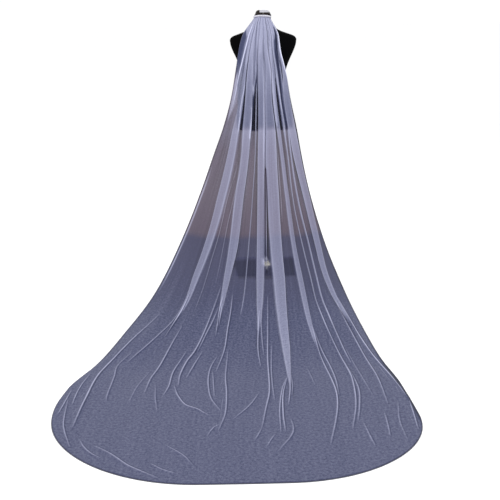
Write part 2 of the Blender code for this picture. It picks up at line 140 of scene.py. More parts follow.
# A layered fold across, from foot to foot, with its free edge on the left: place in half widths,
# place in slope runs outside them, height share, and how much of its light it shows. That light is
# partly the denser layered net and partly a painted highlight at its bends.
Bend = namedtuple("Bend", "half slope height light")
FOLD_SHAPE = (
    Bend(-1, -1, 0, 0), Bend(0, 0, .04, .5), Bend(.94, 0, .13, .5), Bend(1, 0, .26, .8),
    Bend(.93, 0, .38, .5), Bend(0, 0, .48, .5), Bend(-.93, 0, .6, .6), Bend(-1, 0, .75, 1),
    Bend(-.95, 0, .89, 1), Bend(-.82, 0, .96, .62), Bend(-.5, 0, .99, .56), Bend(0, 0, 1, .52),
    Bend(.5, 0, .98, .56), Bend(.82, 0, .95, .66), Bend(.95, 0, .9, .95), Bend(1, 0, .8, .85),
    Bend(1, .5, .35, .15), Bend(1, 1, 0, 0),
)
# A thin pinched fold across
THIN_SHAPE = (
    Bend(-1, -1, 0, 0), Bend(-1, -.4, .2, .15), Bend(-1, 0, .6, .7), Bend(0, 0, 1, 1), Bend(1, 0, .6, .7),
    Bend(1, .4, .2, .15), Bend(1, 1, 0, 0),
)
OPEN_REACH = 0.27
SLOPE_SHARE = 0.35
RUN_LEAST = 0.002
RUN_SHARE = 0.22
GAP_COLUMNS = 128
GAP_COLUMNS_AT = 1.95
LEAST_GAP_COLUMNS = 4
EDGE_COLUMNS = 8

# Full height of a fold, the run of its slope, and the broad swells between the folds
Relief = namedtuple("Relief", "along fold slope swell gather")
RELIEF = (
    Relief(0, .002, .003, 0, .0006),
    Relief(.1, .003, .005, 0, .0012),
    Relief(.2, .0045, .006, .001, .0016),
    Relief(.33, .0075, .007, .003, .0018),
    Relief(.66, .011, .009, .006, .0015),
    Relief(1.07, .014, .012, .012, .001),
    Relief(1.66, .014, .016, .015, .0008),
    Relief(2.1, .011, .018, .008, .0004),
    Relief(2.6, .008, .018, .003, .0003),
    Relief(3, .008, .018, 0, 0),
)
SWELLS_ACROSS = 4.5
SWELL_PHASE = 0.3

# Small gathers: how many there are across the veil, how strong they are and how they drift
Gather = namedtuple("Gather", "count share drift")
GATHER_SWAY = 5.0
GATHERS = (Gather(23.0, 1.0, 1.3), Gather(37.0, 0.7, -2.1), Gather(11.0, 0.8, 0.9))

# Row spacing of the sheet: up to each distance along it, in steps of this length
Run = namedtuple("Run", "until step")
ROW_RUNS = (Run(0.30, 0.0115), Run(1.60, 0.0185), Run(3.00, 0.0054))
SECTION_STEP = 0.005


def ramp(at, start, end):
    """Smooth rise from 0 to 1."""
    t = np.clip((at - start) / (end - start), 0.0, 1.0)
    return t * t * (3.0 - 2.0 * t)


def smooth_table(at, known, values):
    """Values at some distances, on a smooth curve through a table's rows."""
    known = np.asarray(known, dtype=float)
    values = np.asarray(values, dtype=float)
    slopes = np.gradient(values, known)
    i = np.clip(np.searchsorted(known, at) - 1, 0, len(known) - 2)
    span = known[i + 1] - known[i]
    t = np.clip((at - known[i]) / span, 0.0, 1.0)
    ease = t * t * (3.0 - 2.0 * t)
    start_pull = slopes[i] * t * (1.0 - t) ** 2
    end_pull = slopes[i + 1] * t * t * (1.0 - t)
    return values[i] + (values[i + 1] - values[i]) * ease + span * (start_pull - end_pull)


def hanging_curve():
    """Size and length of the slack curve from the band down to where it lies on the floor."""
    drop = BAND_LOW[2] + BAND_DROOP - GAP - REST_HEIGHT
    reach = TOUCH_BACK - STATIONS[0].radius
    low, high = 0.01, 5.0
    for _ in range(60):
        middle = 0.5 * (low + high)
        if (math.cosh(middle) - 1.0) / middle < drop / reach:
            low = middle
        else:
            high = middle
    size = reach / high
    return size, size * math.sinh(high)


CURVE_SIZE, CURVE_LENGTH = hanging_curve()


def centre_line(along):
    """Distance behind the form's axis, height, and lean of the cloth from the floor."""
    left_over = np.maximum(CURVE_LENGTH - along, 0.0) / CURVE_SIZE
    span = np.arcsinh(left_over)
    lean = np.arctan(left_over)
    lean = lean + (0.5 * math.pi - lean) * (1.0 - ramp(along, 0.0, LEAN_RUN))
    back = TOUCH_BACK - CURVE_SIZE * span + np.maximum(along - CURVE_LENGTH, 0.0)
    return back, CURVE_SIZE * (np.cosh(span) - 1.0), lean


def plan(along):
    """Radius of the round, its middle angle, its half angle and its centre's sideways place."""
    known = [row.along for row in STATIONS]
    left = smooth_table(along, known, [row.left for row in STATIONS])
    right = smooth_table(along, known, [row.right for row in STATIONS])
    radius = np.interp(along, known, [row.radius for row in STATIONS])
    turn = np.radians(np.interp(along, known, [row.turn for row in STATIONS]))
    half = np.arcsin((right - left) / (2.0 * radius * np.cos(turn)))
    sideways = 0.5 * (left + right) - radius * np.sin(turn) * np.cos(half)
    return radius, turn, half, sideways


def place(along, across, rise):
    """Points of the veil: distances along it, arc distances across it, heights off its round."""
    radius, turn, half, sideways = plan(along)
    back, height, lean = centre_line(along)
    angle = turn + across / radius
    out = rise * np.sin(lean)
    x = sideways + (radius + out) * np.sin(angle)
    back = back + out * np.cos(angle) - radius * (1.0 - np.cos(angle))
    droop = BAND_DROOP * (across / (radius * half)) ** 2 * (1.0 - ramp(along, 0.0, DROOP_RUN))
    z = height + REST_HEIGHT + rise * np.cos(lean) - droop
    return np.stack([x + AXIS.x, AXIS.y - back, np.maximum(z, REST_HEIGHT)], axis=-1)


def gap_columns():
    """How many columns the sheet has in each gap between two folds, wide gaps having more."""
    middles = np.array([smooth_table(GAP_COLUMNS_AT, FOLD_ALONG, fold.across) for fold in FOLDS])
    shares = np.diff(middles) / (middles[-1] - middles[0])
    return np.maximum(np.round(GAP_COLUMNS * shares), LEAST_GAP_COLUMNS).astype(int)


GAPS = gap_columns()


def fold_section(fold, along, middles, room, full_height, slope):
    """One fold's columns: arc distances, heights and light, from folded to lying open."""
    before, middle, after = middles
    width = np.interp(along, FOLD_ALONG, fold.width)
    shut = 1.0 - ramp(along, fold.tip, fold.tip + OPENING_RUN)
    shape = np.array(FOLD_SHAPE if fold.side else THIN_SHAPE)
    if fold.side > 0:
        shape = shape[::-1] * (-1.0, -1.0, 1.0, 1.0)
    slope = min(slope, RUN_LEAST + RUN_SHARE * width)
    runs = np.where(shape[:, 1] < 0.0, min(slope, SLOPE_SHARE * room[0]),
                    min(slope, SLOPE_SHARE * room[1]))
    folded = middle + 0.5 * width * shape[:, 0] + runs * shape[:, 1]
    opened = np.linspace(middle - OPEN_REACH * (middle - before),
                         middle + OPEN_REACH * (after - middle), len(shape))
    across = opened + (folded - opened) * shut
    outside = np.maximum(np.abs(across - middle) - 0.5 * width - slope * shut, 0.0)
    near = np.exp(-(outside / OPEN_MASK) ** 2) * shut
    shrunk = ramp(along, fold.tip - TAPER_RUN, fold.tip)
    taper = TAPER_END + (1.0 - TAPER_END) * (1.0 - shrunk)
    height = full_height * fold.share * taper * shape[:, 2] * near
    shown = fold.light * (1.0 - ramp(along, fold.tip - TIP_FADE, fold.tip + TIP_FADE))
    return across, height, shape[:, 3] * shown * near


def cross_section(along):
    """The sheet across the veil at one distance along it: arc distances, heights and light."""
    radius, _, half, _ = plan(along)
    half_arc = radius * half
    known = [row.along for row in RELIEF]
    full_height, slope, swell, gather = [
        np.interp(along, known, column) for column in list(zip(*RELIEF))[1:]]
    middles = [smooth_table(along, FOLD_ALONG, fold.across) * half_arc for fold in FOLDS]
    widths = [np.interp(along, FOLD_ALONG, fold.width) for fold in FOLDS]
    stops = [-half_arc] + [m + 0.5 * w for m, w in zip(middles, widths)]
    starts = [m - 0.5 * w for m, w in zip(middles, widths)] + [half_arc]
    rooms = [max(start - stop, 0.0005) for start, stop in zip(starts, stops)]
    bounds = [-half_arc] + middles + [half_arc]

    blocks = [fold_section(fold, along, bounds[i:i + 3], rooms[i:i + 2], full_height, slope)
              for i, fold in enumerate(FOLDS)]
    edge = (np.arange(EDGE_COLUMNS) / EDGE_COLUMNS) ** 2
    parts = [(-half_arc + (blocks[0][0][0] + half_arc) * edge, 0.0 * edge, 0.0 * edge)]
    for i, block in enumerate(blocks):
        parts.append(block)
        if i + 1 < len(blocks):
            share = np.arange(1, GAPS[i] + 1) / (GAPS[i] + 1)
            stop, start = block[0][-1], blocks[i + 1][0][0]
            parts.append((stop + (start - stop) * share, 0.0 * share, 0.0 * share))
    edge = edge[::-1]
    parts.append((half_arc - (half_arc - blocks[-1][0][-1]) * edge, 0.0 * edge, 0.0 * edge))
    across, height, light = [np.concatenate(columns) for columns in zip(*parts)]

    wave = np.cos(2.0 * math.pi * (SWELLS_ACROSS * 0.5 * (across / half_arc + 1.0) + SWELL_PHASE))
    height = height + 0.5 * swell * (1.0 - wave)
    thread = np.linspace(0.0, 1.0, len(across))
    for row in GATHERS:
        turns = row.count * thread + row.drift * along * np.sin(GATHER_SWAY * thread)
        height = height + gather * row.share * np.sin(2.0 * math.pi * turns)
    return across, height, light


def row_distances():
    """Distances along the veil of the sheet's rows."""
    rows = [np.array([0.0])]
    start = 0.0
    for run in ROW_RUNS:
        count = round((run.until - start) / run.step)
        rows.append(np.linspace(start, run.until, count + 1)[1:])
        start = run.until
    return np.concatenate(rows)


def hem_ends(across):
    """For each column, how far along the veil its thread runs before the rounded hem."""
    radius, _, half, _ = plan(VEIL_LENGTH)
    half_arc = radius * half
    wide = np.where(across < 0.0, LEFT_CORNER.wide, RIGHT_CORNER.wide)
    long = np.where(across < 0.0, LEFT_CORNER.long, RIGHT_CORNER.long)
    into = np.clip((np.abs(across) - (half_arc - wide)) / wide, 0.0, 1.0)
    return VEIL_LENGTH - long * (1.0 - np.sqrt(1.0 - into * into))


# Creases of the train: height, half width, how strong the painted highlight on its crest is, and the
# places that each runs through, as metres to the right of the form's axis and metres behind it on the laid
# cloth
Crease = namedtuple("Crease", "height half light points")
CREASES = (
    Crease(.009, .01, .56, ((-.532, 1.077), (-.636, 1.232), (-.705, 1.39), (-.745, 1.542), (-.756, 1.744),
        (-.759, 1.85), (-.76, 1.96))),
    Crease(.006, .009, .34, ((-.387, .926), (-.446, 1.092), (-.53, 1.221), (-.595, 1.328), (-.641, 1.416))),
    Crease(.006, .009, .3, ((-.629, 1.334), (-.674, 1.437), (-.674, 1.55), (-.676, 1.7), (-.672, 1.76))),
    Crease(.008, .01, .42, ((-.415, 1.17), (-.455, 1.296), (-.495, 1.474), (-.518, 1.57), (-.528, 1.694))),
    Crease(.007, .009, .42, ((-.383, 1.351), (-.427, 1.51), (-.435, 1.64), (-.449, 1.72))),
    Crease(.008, .01, .5, ((-.238, .932), (-.293, 1.154), (-.344, 1.343), (-.377, 1.43), (-.397, 1.535),
        (-.398, 1.631))),
    Crease(.007, .009, .38, ((-.248, 1.057), (-.277, 1.156), (-.303, 1.238), (-.332, 1.344))),
    Crease(.006, .009, .32, ((-.315, 1.355), (-.344, 1.453), (-.369, 1.558))),
    Crease(.007, .009, .46, ((-.413, 1.64), (-.392, 1.724), (-.356, 1.8), (-.31, 1.836), (-.264, 1.888))),
    Crease(.008, .009, .5, ((-.182, .991), (-.19, 1.087), (-.204, 1.211), (-.216, 1.351), (-.248, 1.51))),
    Crease(.007, .009, .38, ((-.247, 1.388), (-.273, 1.48), (-.277, 1.6), (-.26, 1.749), (-.219, 1.859))),
    Crease(.005, .008, .28, ((-.262, 1.508), (-.253, 1.637), (-.246, 1.74))),
    Crease(.007, .009, .42, ((-.2, 1.352), (-.206, 1.56), (-.198, 1.719), (-.199, 1.881), (-.22, 2.003))),
    Crease(.005, .008, .3, ((-.218, 1.967), (-.24, 1.99), (-.259, 2.041))),
    Crease(.006, .008, .32, ((-.07, 1.713), (-.099, 1.801), (-.128, 1.861), (-.166, 1.922))),
    Crease(.006, .008, .42, ((-.78, 1.51), (-.796, 1.62), (-.8, 1.716), (-.798, 1.79))),
    Crease(.006, .008, .44, ((-.828, 1.66), (-.832, 1.783), (-.837, 1.865))),
    Crease(.006, .008, .36, ((-.825, 1.74), (-.803, 1.918), (-.781, 2.002), (-.741, 2.104))),
    Crease(.005, .008, .3, ((-.713, 2.061), (-.692, 2.105), (-.657, 2.151), (-.616, 2.184))),
    Crease(.006, .009, .36, ((-.654, 2.099), (-.588, 2.157), (-.523, 2.229), (-.47, 2.27), (-.41, 2.31))),
    Crease(.005, .008, .26, ((-.406, 2.1), (-.357, 2.151), (-.328, 2.186), (-.3, 2.237))),
    Crease(.005, .008, .26, ((-.441, 2.224), (-.4, 2.262), (-.346, 2.29))),
    Crease(.004, .009, .2, ((-.489, 1.64), (-.48, 1.74), (-.461, 1.854))),
    Crease(.004, .009, .18, ((-.53, 1.49), (-.566, 1.64), (-.58, 1.78))),
    Crease(.008, .008, .6, ((-.385, .945), (-.415, 1.043), (-.434, 1.093), (-.459, 1.152), (-.487, 1.219))),
    Crease(.007, .008, .5, ((-.226, .99), (-.242, 1.07), (-.249, 1.149), (-.257, 1.241))),
    Crease(.006, .008, .4, ((-.229, 1.03), (-.238, 1.117), (-.245, 1.18))),
    Crease(.008, .008, .52, ((-.056, 1.09), (-.063, 1.214), (-.067, 1.346), (-.058, 1.473))),
    Crease(.006, .008, .36, ((-.046, 1.11), (-.048, 1.242), (-.043, 1.377))),
    Crease(.008, .009, .5, ((-.014, 1), (-.021, 1.242), (-.026, 1.42), (-.026, 1.683), (-.044, 1.837),
        (-.062, 1.986))),
    Crease(.006, .009, .3, ((-.004, 1.3), (-.012, 1.468), (-.013, 1.63), (-.009, 1.772))),
    Crease(.007, .008, .44, ((.046, 1.588), (.024, 1.694), (.008, 1.86), (.006, 2.023))),
    Crease(.009, .008, .56, ((.05, 1.58), (.027, 1.728), (.02, 1.888), (.022, 2.014))),
    Crease(.007, .008, .46, ((.061, 1.59), (.056, 1.704), (.044, 1.817))),
    Crease(.005, .008, .3, ((.069, 1.56), (.068, 1.66), (.06, 1.748))),
    Crease(.006, .009, .28, ((.046, 1.93), (.052, 2), (.04, 2.06), (-.006, 2.15))),
    Crease(.005, .008, .26, ((-.016, 2.039), (-.032, 2.08), (-.046, 2.12))),
    Crease(.005, .008, .24, ((-.063, 1.992), (-.075, 2.037), (-.089, 2.079))),
    Crease(.009, .009, .54, ((.186, 1.19), (.203, 1.372), (.231, 1.582), (.239, 1.74), (.222, 1.896),
        (.178, 2.109))),
    Crease(.007, .009, .42, ((.192, 1.2), (.213, 1.333), (.24, 1.48), (.25, 1.608), (.247, 1.737))),
    Crease(.009, .009, .5, ((.226, 1.05), (.27, 1.264), (.31, 1.5), (.317, 1.64), (.304, 1.82),
        (.268, 2.005))),
    Crease(.007, .009, .38, ((.306, 1.44), (.327, 1.601), (.331, 1.715), (.314, 1.847), (.295, 1.946))),
    Crease(.007, .009, .42, ((.256, 1.04), (.295, 1.232), (.316, 1.358), (.331, 1.443))),
    Crease(.008, .009, .46, ((.308, 1.01), (.349, 1.162), (.38, 1.302), (.413, 1.502), (.425, 1.64),
        (.426, 1.821))),
    Crease(.01, .009, .7, ((.326, 1), (.375, 1.152), (.44, 1.395), (.466, 1.506), (.489, 1.62),
        (.515, 1.78))),
    Crease(.006, .008, .46, ((.516, 1.77), (.509, 1.908), (.502, 2.02))),
    Crease(.005, .009, .2, ((.468, 1.811), (.446, 1.96), (.448, 2.102))),
    Crease(.006, .009, .28, ((.401, 1.9), (.397, 2), (.392, 2.07))),
    Crease(.005, .009, .24, ((.312, 1.968), (.321, 2.063), (.329, 2.13))),
    Crease(.005, .009, .18, ((.315, 1.297), (.339, 1.434), (.362, 1.607), (.378, 1.743))),
    Crease(.005, .009, .16, ((.14, 1.5), (.15, 1.58), (.16, 1.66))),
    Crease(.004, .008, .26, ((-.147, .209), (-.201, .394), (-.246, .611), (-.281, .757), (-.322, .935),
        (-.36, 1.08))),
    Crease(.004, .008, .24, ((-.137, .269), (-.186, .47), (-.214, .615), (-.262, .913))),
    Crease(.004, .008, .26, ((.05, .02), (.058, .12), (.068, .41), (.071, .56))),
    Crease(.001, .009, .9, ((-.006, .24), (-.0065, .421), (-.01, .597), (-.013, .79))),
    Crease(.002, .01, .5, ((-.046, -.39), (-.047, -.18), (-.05, .01))),
)
CREASE_HEIGHT = 0.5
CREASE_WIDTH = 0.85
PATH_STEPS = 8
LINE_SHARE = 0.34
LINE_REACH = 8.0
LINE_FADE = (5.0, 7.0)
CREASE_LAYERS = 6
LAYER_SPACING = 0.045


def smooth_path(points):
    """Points on a smooth curve through a few given ones."""
    given = np.array(points, dtype=float)
    t = np.arange(len(given))
    fine = np.linspace(0, len(given) - 1, PATH_STEPS * (len(given) - 1) + 1)
    return np.stack([smooth_table(fine, t, given[:, k]) for k in range(2)], axis=1)


def crease_layer(path, layers):
    """The first layer in which no crease lies near this one, or else the emptiest."""
    gaps = []
    for placed in layers:
        far = [np.linalg.norm(path[:, None] - other[None], axis=2).min() for other in placed]
        gaps.append(min(far, default=9.0))
        if gaps[-1] > LAYER_SPACING:
            return len(gaps) - 1
    return int(np.argmax(gaps))


def raise_creases(x, reach, height):
    """Lift the cloth along its creases. Gives each point's signed distance from the crease beside it,
    in line widths, and the strength of the painted highlight on its crest, for each layer of creases."""
    distances = np.full(x.shape + (CREASE_LAYERS,), LINE_REACH)
    crests = np.zeros(x.shape + (CREASE_LAYERS,))
    layers = [[] for _ in range(CREASE_LAYERS)]
    for crease in CREASES:
        path = smooth_path(crease.points)
        layer = crease_layer(path, layers)
        layers[layer].append(path)
        half = CREASE_WIDTH * crease.half
        margin = 3.0 * half
        low, high = path.min(axis=0) - margin, path.max(axis=0) + margin
        near = np.nonzero((x > low[0]) & (x < high[0]) & (reach > low[1]) & (reach < high[1]))
        spots = np.stack([x[near], reach[near]], axis=1)
        best = np.full(len(spots), 9.0)
        side = np.ones(len(spots))
        share = np.zeros(len(spots))
        for k, (a, b) in enumerate(zip(path, path[1:])):
            step = b - a
            away = spots - a
            t = np.clip((away @ step) / (step @ step), 0.0, 1.0)
            far = np.linalg.norm(away - t[:, None] * step, axis=1)
            closer = far < best
            best[closer] = far[closer]
            side[closer] = np.sign(away[closer, 0] * step[1] - away[closer, 1] * step[0])
            share[closer] = (k + t[closer]) / (len(path) - 1)
        fade = np.sin(math.pi * np.clip(0.04 + 0.92 * share, 0.0, 1.0)) ** 0.7
        height[near] += CREASE_HEIGHT * crease.height * np.exp(-(best / half) ** 2) * fade
        lines = side * best / (LINE_SHARE * half)
        spot = (near[0], near[1], np.full(len(best), layer))
        nearer = np.abs(lines) < np.abs(distances[spot])
        spot = tuple(part[nearer] for part in spot)
        distances[spot] = lines[nearer]
        crests[spot] = (crease.light * fade * (1.0 - ramp(np.abs(lines), *LINE_FADE)))[nearer]
    return distances, crests


Sheet = namedtuple("Sheet", "points along across share fold distances crests")


def sheet_points():
    """Points of the sheet in rows, with what its looks are worked out from."""
    known = np.arange(0.0, VEIL_LENGTH + 0.5 * SECTION_STEP, SECTION_STEP)
    sections = np.array([cross_section(min(along, VEIL_LENGTH)) for along in known])
    ends = hem_ends(sections[-1, 0])
    rows = row_distances()
    past = np.maximum(rows - CORNERS_FROM, 0.0)[:, None]
    along = np.minimum(rows, CORNERS_FROM)[:, None] + past * (ends - CORNERS_FROM) / (
        VEIL_LENGTH - CORNERS_FROM)
    values = []
    for k in range(3):
        columns = [np.interp(along[:, c], known, sections[:, k, c]) for c in range(along.shape[1])]
        values.append(np.stack(columns, axis=1))
    across, height, fold = values
    radius, turn, half, sideways = plan(along)
    angle = turn + across / radius
    x = sideways + radius * np.sin(angle)
    reach = TOUCH_BACK + along - CURVE_LENGTH - radius * (1.0 - np.cos(angle))
    distances, crests = raise_creases(x, reach, height)
    points = place(along, across, height)
    return Sheet(points, along, across, across / (radius * half), fold, distances, crests)


# How the tulle looks along the veil: how light it is, how much lighter its folds are, how warm
# and how dense it is
Look = namedtuple("Look", "along light fold warm cover")
LOOKS = (
    Look(0, .52, .12, 0, .985),
    Look(.05, .48, .14, 0, .985),
    Look(.14, .41, .2, 0, .98),
    Look(.3, .26, .36, 0, .965),
    Look(.48, .13, .42, 0, .955),
    Look(.645, .09, .42, 0, .95),
    Look(.665, .09, .52, .75, .94),
    Look(.78, .02, .54, .95, .94),
    Look(1, -.01, .54, 1, .945),
    Look(1.275, -.04, .54, 1, .965),
    Look(1.3, -.05, .54, .25, .98),
    Look(1.6, -.01, .52, .12, .978),
    Look(1.8, .04, .5, 0, .972),
    Look(2.2, .08, .5, 0, .965),
    Look(3, .08, .5, 0, .96),
)

# Where the dark form lies close behind the cloth: the left and right ends of that part across
# the veil at distances along it. The cloth looks darker there, and the painted highlights at its folds'
# edges sharper.
FORM_ALONG = (.2, .31, .4, .485, .57, .655)
FORM_LEFT = (-1.1, -.977, -.874, -.791, -.7, -.622)
FORM_RIGHT = (1.1, 1.05, 1.02, .985, .945, .906)
SHADE_SOFT = 0.04
FORM_FADE = (0.12, 0.30)
FORM_END = (0.648, 0.662)
FORM_SHARPER = 1.4
BESIDE_FORM_WARM = 0.9
BESIDE_FORM = (0.22, 0.40)

# Streaks of another light: the light that each pulls to, how strongly, how much thinner the cloth
# is, and its places across and half widths at distances along the veil
Streak = namedtuple("Streak", "tone strength thin along across width")
STREAKS = (
    Streak(-.6, 1, .12, (.4, .48, .645, .655), (-.54, -.531, -.505, -.5), (0, .018, .03, .03)),
    Streak(0, .9, 0, (.655, .66, .8, 1), (-.5, -.5, -.49, -.48), (0, .04, .045, 0)),
    Streak(-.6, 1, .12, (.33, .48, .645, .655), (-.18, -.165, -.13, -.13), (0, .065, .08, .08)),
    Streak(0, .9, 0, (.655, .66, .8, 1.1), (-.14, -.14, -.12, -.12), (0, .08, .1, 0)),
    Streak(-.6, 1, .12, (.36, .48, .645, .655), (.545, .558, .58, .581), (0, .03, .028, .028)),
    Streak(-.12, .9, 0, (.655, .66, .8, 1.05), (.585, .585, .61, .61), (0, .03, .03, 0)),
    Streak(-.24, 1, 0, (.05, .1, .14, .2, .3, .48, .66), (.88, .84, .8, .76, .7, .705, .735), (.03, .085,
        .11, .085, .045, .018, .026)),
    Streak(.56, .7, 0, (.14, .2, .3, .48, .62, .66), (.42, .41, .384, .433, .454, .456), (0, .06, .06, .045,
        .035, 0)),
    Streak(.22, .5, 0, (.05, .14, .3, .34), (-.237, -.2, -.197, -.19), (.03, .045, .035, 0)),
    Streak(.25, .45, 0, (.06, .14, .3, .475, .5), (.28, .274, .192, .15, .14), (.02, .035, .045, .03, 0)),
    Streak(-.02, 1, 0, (.07, .12, .2, .3, .38), (-.93, -.86, -.9, -.95, -1), (0, .17, .15, .1, 0)),
    # The next two streaks: bright lines where the cloth turns at its edges near the top, painted highlights
    Streak(.95, .9, 0, (.03, .06, .14, .3, .42), (-.58, -.6, -.635, -.81, -.88), (.01, .028, .025, .02, 0)),
    Streak(1.3, .95, 0, (0, .05, .14, .3, .42), (.95, .96, .96, .99, 1), (.05, .05, .05, .055, 0)),
    Streak(-.26, 1, 0, (.84, .95, 1.07, 1.25, 1.42, 1.5), (.178, .178, .18, .182, .179, .178), (0, .022,
        .036, .042, .045, 0)),
    # Light lines along the folds' edges: painted highlights
    Streak(.42, 1, 0, (.36, .4, .475, .55, .622, .656), (-.166, -.162, -.148, -.135, -.119, -.107), (0, .01,
        .012, .012, .012, .012)),
    Streak(.78, .7, 0, (.34, .4, .46, .55, .642, .72), (-.235, -.242, -.25, -.25, -.236, -.225), (0, .012,
        .013, .013, .013, 0)),
    Streak(.75, .7, 0, (.34, .42, .48, .55, .642, .68), (-.56, -.575, -.595, -.594, -.554, -.545), (0, .013,
        .014, .014, .014, 0)),
    Streak(.78, .6, 0, (.28, .346, .462, .572, .646, .7), (.56, .585, .631, .665, .674, .68), (0, .016,
        .018, .018, .018, 0)),
    Streak(.7, .6, 0, (.22, .29, .4, .55, .646, .81, .95), (.145, .136, .102, .104, .116, .142, .155), (0,
        .014, .014, .014, .014, .013, 0)),
    # A paler band near the left edge
    Streak(.54, .7, 0, (.32, .39, .45, .5, .61), (-.93, -.91, -.9, -.9, -.93), (0, .06, .09, .09, 0)),
    Streak(.4, .9, .34, (1.405, 1.425, 1.46, 1.475), (.178, .178, .178, .178), (0, .05, .05, 0)),
)

# Streaks that colour only the cloth between the folds
GAP_STREAKS = (
    Streak(.6, .85, 0, (.03, .06, .11, .165, .25, .3), (-.5, -.5, -.44, -.45, -.57, -.6), (0, .15, .15, .14,
        .07, 0)),
    Streak(.6, .85, 0, (.03, .06, .11, .165, .22), (0, 0, 0, 0, 0), (0, .17, .17, .12, 0)),
    Streak(.6, .8, 0, (.03, .06, .11, .165, .25, .3), (.42, .42, .42, .42, .41, .4), (0, .14, .16, .13, .08,
        0)),
    Streak(.56, .9, 0, (.24, .32, .48, .655, .8, .9), (.15, .14, .132, .14, .175, .18), (0, .035, .035, .04,
        .035, 0)),
)

# Where the dark glass plate lies close under the cloth
PLATE_ALONG = (1.415, 1.43, 1.525, 1.54)
PLATE_LEFT = (-0.25, -0.25, -0.165, -0.165)
PLATE_RIGHT = (0.53, 0.53, 0.52, 0.52)
PLATE_DARKER = 0.20

LAID_FROM = (1.3, 2.0)
SIDE_LINE = 0.013
SIDE_LINE_WIDTH = 0.0035
SIDE_LINE_LIGHT = 0.60
SIDE_LINE_START = (0.85, 1.05)
SIDE_LINE_END = (1.45, 1.70)
# Painted shade round the sheet's edge: its width, depth and where it starts
RIM_WIDTH = 0.005
RIM_PAINTED_SHADE = 0.40
RIM_START = (0.25, 0.50)
DEEP_GAIN = 2.4
FOLD_COVER = 0.06


def linear(red, green, blue):
    """Linear colour of an sRGB colour given in 0 to 255."""
    values = np.array([red, green, blue]) / 255.0
    low, high = values / 12.92, ((values + 0.055) / 1.055) ** 2.4
    return (*np.where(values <= 0.04045, low, high).tolist(), 1.0)


SLATE = linear(54, 59, 88)
MAUVE = linear(75, 64, 82)
PALE = linear(188, 190, 217)
WHITE = linear(236, 237, 244)
DEEP = linear(14, 16, 34)

# The painted shade on the dark side of a crease: its place in line widths and its share of the crest's
# painted highlight
LEE_PLACE = 1.9
LEE_SHADE = 0.45


class Nodes:
    """A material's node tree, with short calls to add and join nodes."""

    def __init__(self, name):
        self.material = bpy.data.materials.new(name)
        self.material.use_nodes = True
        self.tree = self.material.node_tree
        self.shader = self.tree.nodes["Principled BSDF"]
        self.output = self.tree.nodes["Material Output"]

    def add(self, kind, **settings):
        node = self.tree.nodes.new(kind)
        for key, value in settings.items():
            setattr(node, key, value)
        return node

    def link(self, start, end):
        self.tree.links.new(start, end)

    def attribute(self, name):
        return self.add("ShaderNodeAttribute", attribute_name=name).outputs["Fac"]

    def mix(self, factor, first, second):
        """Mix two colours, each a socket or a colour, by a factor socket or number."""
        node = self.add("ShaderNodeMix", data_type="RGBA")
        for socket, value in ((node.inputs[0], factor), (node.inputs[6], first),
                              (node.inputs[7], second)):
            if isinstance(value, bpy.types.NodeSocket):
                self.link(value, socket)
            else:
                socket.default_value = value
        return node.outputs[2]

    def math(self, operation, *values, clamp=False):
        node = self.add("ShaderNodeMath", operation=operation, use_clamp=clamp)
        for socket, value in zip(node.inputs, values):
            if isinstance(value, bpy.types.NodeSocket):
                self.link(value, socket)
            else:
                socket.default_value = value
        return node.outputs[0]

    def parts(self, name):
        """The three numbers of a vector kept at the points."""
        node = self.add("ShaderNodeSeparateXYZ")
        attribute = self.add("ShaderNodeAttribute", attribute_name=name)
        self.link(attribute.outputs["Vector"], node.inputs[0])
        return list(node.outputs)

    def bell(self, distance, middle):
        """A smooth bump, 1 at the middle, over a distance given in widths."""
        off = self.math("SUBTRACT", distance, middle)
        return self.math("EXPONENT", self.math("MULTIPLY", self.math("MULTIPLY", off, off), -1.0))

    def noise(self, vector, scale, detail=2.0, roughness=0.5):
        node = self.add("ShaderNodeTexNoise")
        node.inputs["Scale"].default_value = scale
        node.inputs["Detail"].default_value = detail
        node.inputs["Roughness"].default_value = roughness
        self.link(vector, node.inputs["Vector"])
        return node.outputs["Fac"]

    def stretched(self, vector, x, y, z):
        node = self.add("ShaderNodeMapping")
        node.inputs["Scale"].default_value = (x, y, z)
        self.link(vector, node.inputs["Vector"])
        return node.outputs["Vector"]

    def bump(self, height, strength, distance):
        node = self.add("ShaderNodeBump")
        node.inputs["Strength"].default_value = strength
        node.inputs["Distance"].default_value = distance
        self.link(height, node.inputs["Height"])
        self.link(node.outputs["Normal"], self.shader.inputs["Normal"])


def finish_shader(nodes, roughness, metallic=0.0, specular=0.5, sheen=0.0, coat=0.0):
    inputs = nodes.shader.inputs
    inputs["Roughness"].default_value = roughness
    inputs["Metallic"].default_value = metallic
    inputs["Specular IOR Level"].default_value = specular
    inputs["Sheen Weight"].default_value = sheen
    inputs["Coat Weight"].default_value = coat
    return nodes.material


